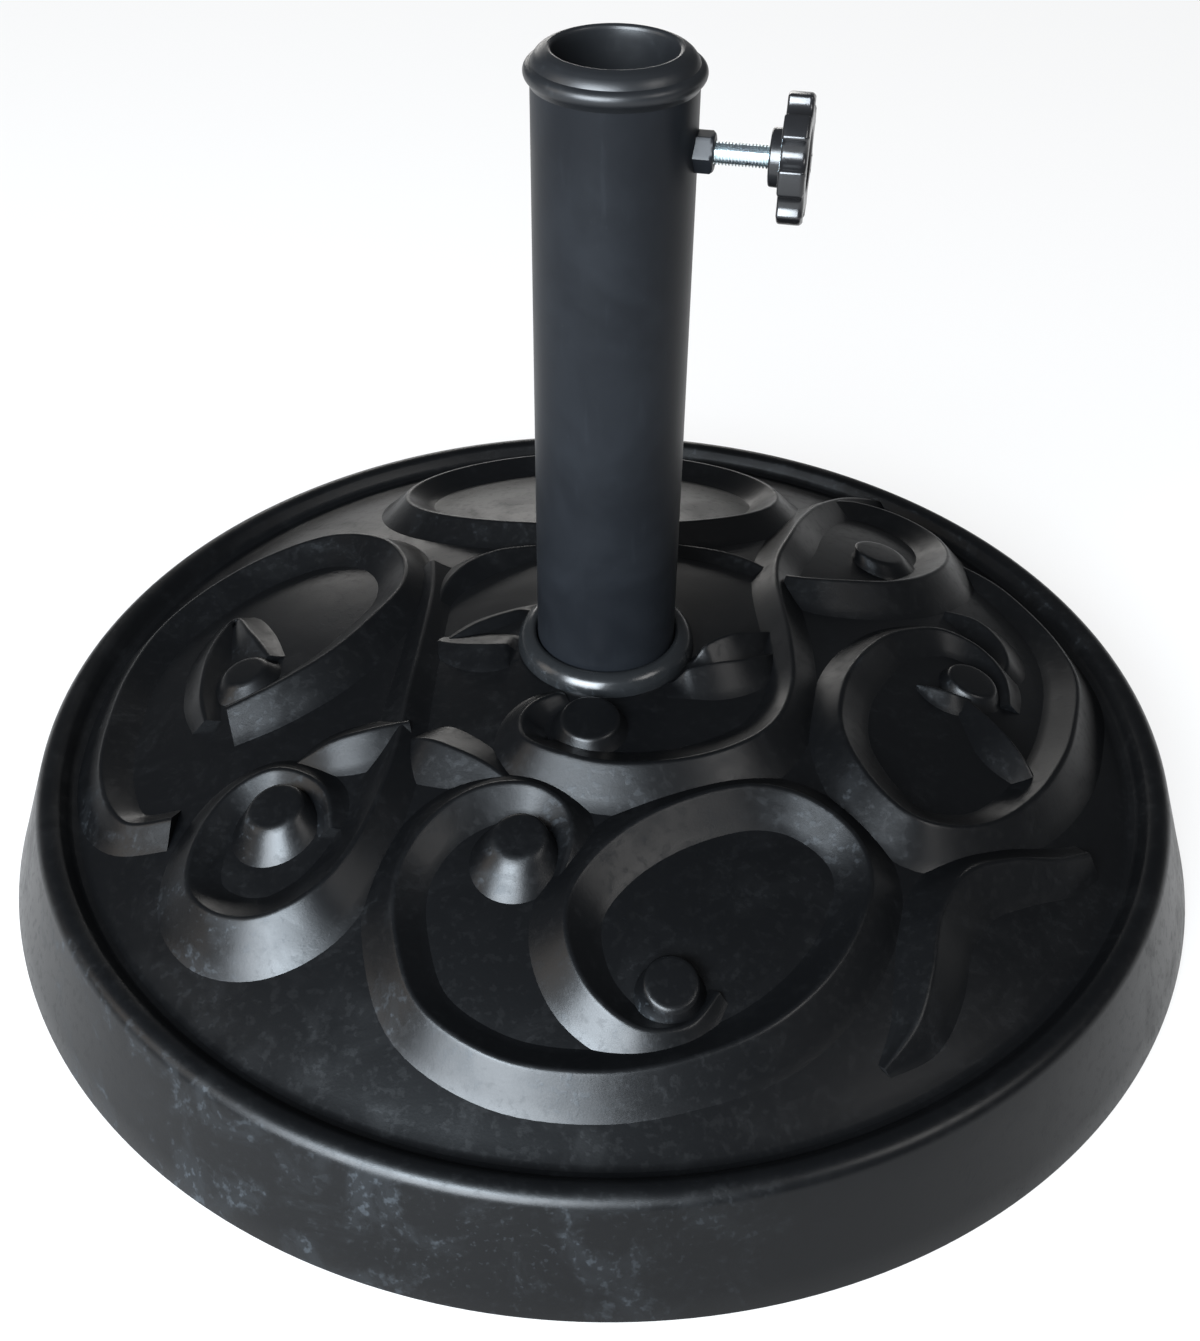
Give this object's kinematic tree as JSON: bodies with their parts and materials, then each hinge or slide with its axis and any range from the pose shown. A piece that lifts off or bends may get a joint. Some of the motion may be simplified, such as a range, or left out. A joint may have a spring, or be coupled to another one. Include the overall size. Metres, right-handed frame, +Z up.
{
  "type": "parasol base",
  "caption": "Round ballasted parasol base with scroll relief, a central pole tube and a clamp screw with a lobed knob.",
  "frame": {"origin": "centre of the footprint on the floor", "axes": "+Z up along the pole tube, +X along the clamp screw towards its knob"},
  "size_m": [0.4498, 0.4498, 0.2984],
  "materials": {
    "shell_plastic": "satin moulded plastic, scuffed and dusty",
    "concrete": "cast concrete",
    "cover_plastic": "matt moulded plastic",
    "foot_rubber": "matt black rubber",
    "trim_plastic": "satin black plastic",
    "painted_steel": "satin black powder coat",
    "bare_steel": "bare steel",
    "plated_steel": "zinc plated",
    "zinc_steel": "bright zinc plated thread",
    "knob_plastic": "glossy black plastic"
  },
  "bodies": {
    "base": {"base_shell": "shell_plastic", "concrete_core": "concrete", "bottom_cover": "cover_plastic", "cover_screws": "plated_steel", "foot_1": "foot_rubber", "foot_2": "foot_rubber", "foot_3": "foot_rubber", "foot_4": "foot_rubber", "foot_5": "foot_rubber", "foot_6": "foot_rubber", "foot_ring": "trim_plastic", "mast_tube": "painted_steel", "tube_plate": "bare_steel", "foot_nut": "bare_steel", "centre_bolt": "plated_steel", "plain_washer": "plated_steel", "spring_washer": "plated_steel", "pole_seat": "trim_plastic", "top_collar": "trim_plastic", "clamp_nut": "painted_steel"},
    "pad": {"clamp_pad": "trim_plastic"},
    "clamp_screw": {"clamp_bolt": "zinc_steel", "knob": "knob_plastic"}
  },
  "joints": [
    {"name": "clamp_travel", "type": "slide", "parent": "base", "child": "pad", "axis": [-1, 0, 0], "range_m": [0, 0.016]},
    {"name": "clamp_turn", "type": "hinge", "parent": "pad", "child": "clamp_screw", "pos_m": [0.04, 0, 0.2694], "axis": [-1, 0, 0], "range_deg": [0, 5760]}
  ],
  "couplings": [
    {"joint": "clamp_travel", "follows": "clamp_turn", "m_per_rad": 0.00015915}
  ]
}
